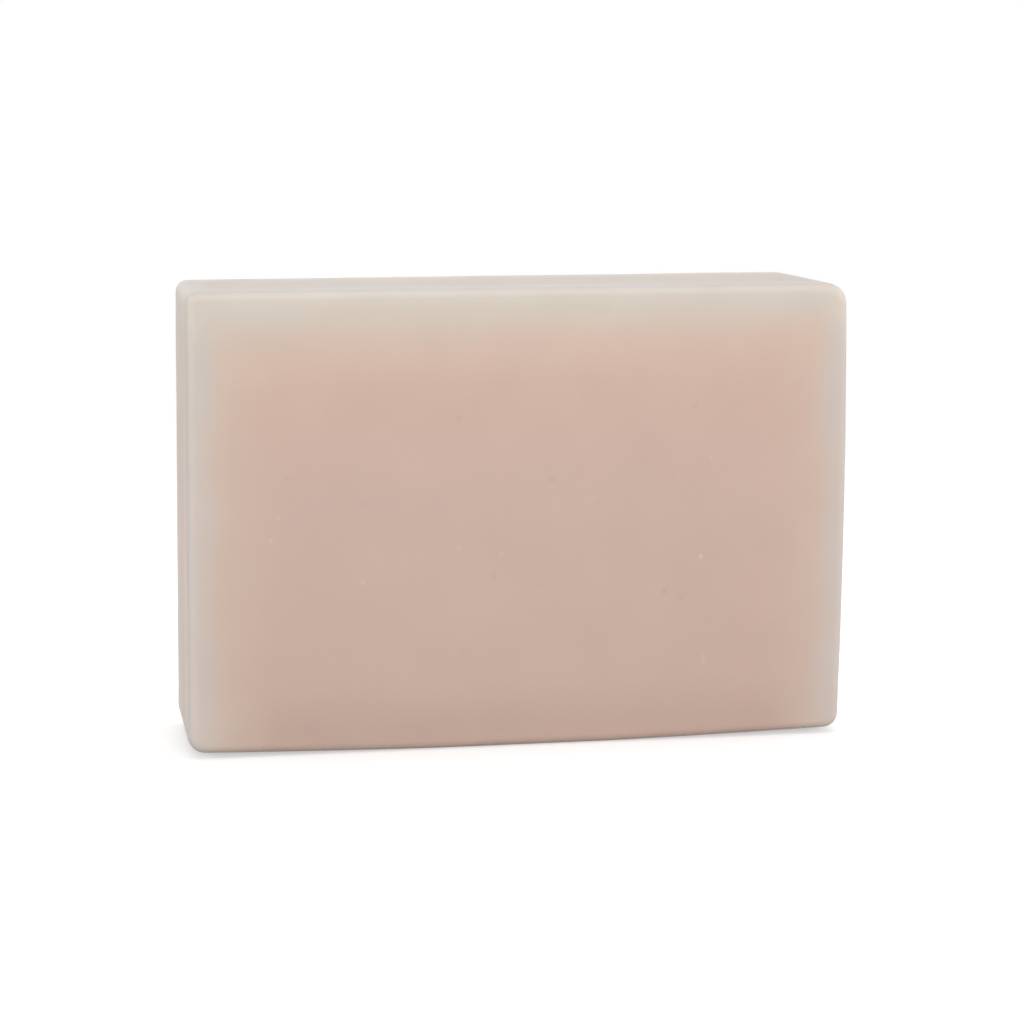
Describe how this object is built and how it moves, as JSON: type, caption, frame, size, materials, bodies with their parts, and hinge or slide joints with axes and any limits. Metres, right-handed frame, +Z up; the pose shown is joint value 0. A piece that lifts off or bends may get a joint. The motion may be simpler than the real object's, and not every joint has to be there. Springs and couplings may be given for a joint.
{
  "type": "bar of soap",
  "caption": "Plain translucent bar of soap, a cast rectangular block with softly rounded edges, standing on one long narrow side.",
  "frame": {"origin": "middle of the underside, on the surface that the bar stands on", "axes": "+X to the right end seen from the front, along the bar's length; +Y from the front face to the back face, through the thickness; +Z up"},
  "size_m": [0.08, 0.02, 0.055],
  "materials": {
    "soap": "satin, waxy and slightly translucent"
  },
  "bodies": {
    "root": {"soap_bar": "soap"}
  },
  "joints": []
}
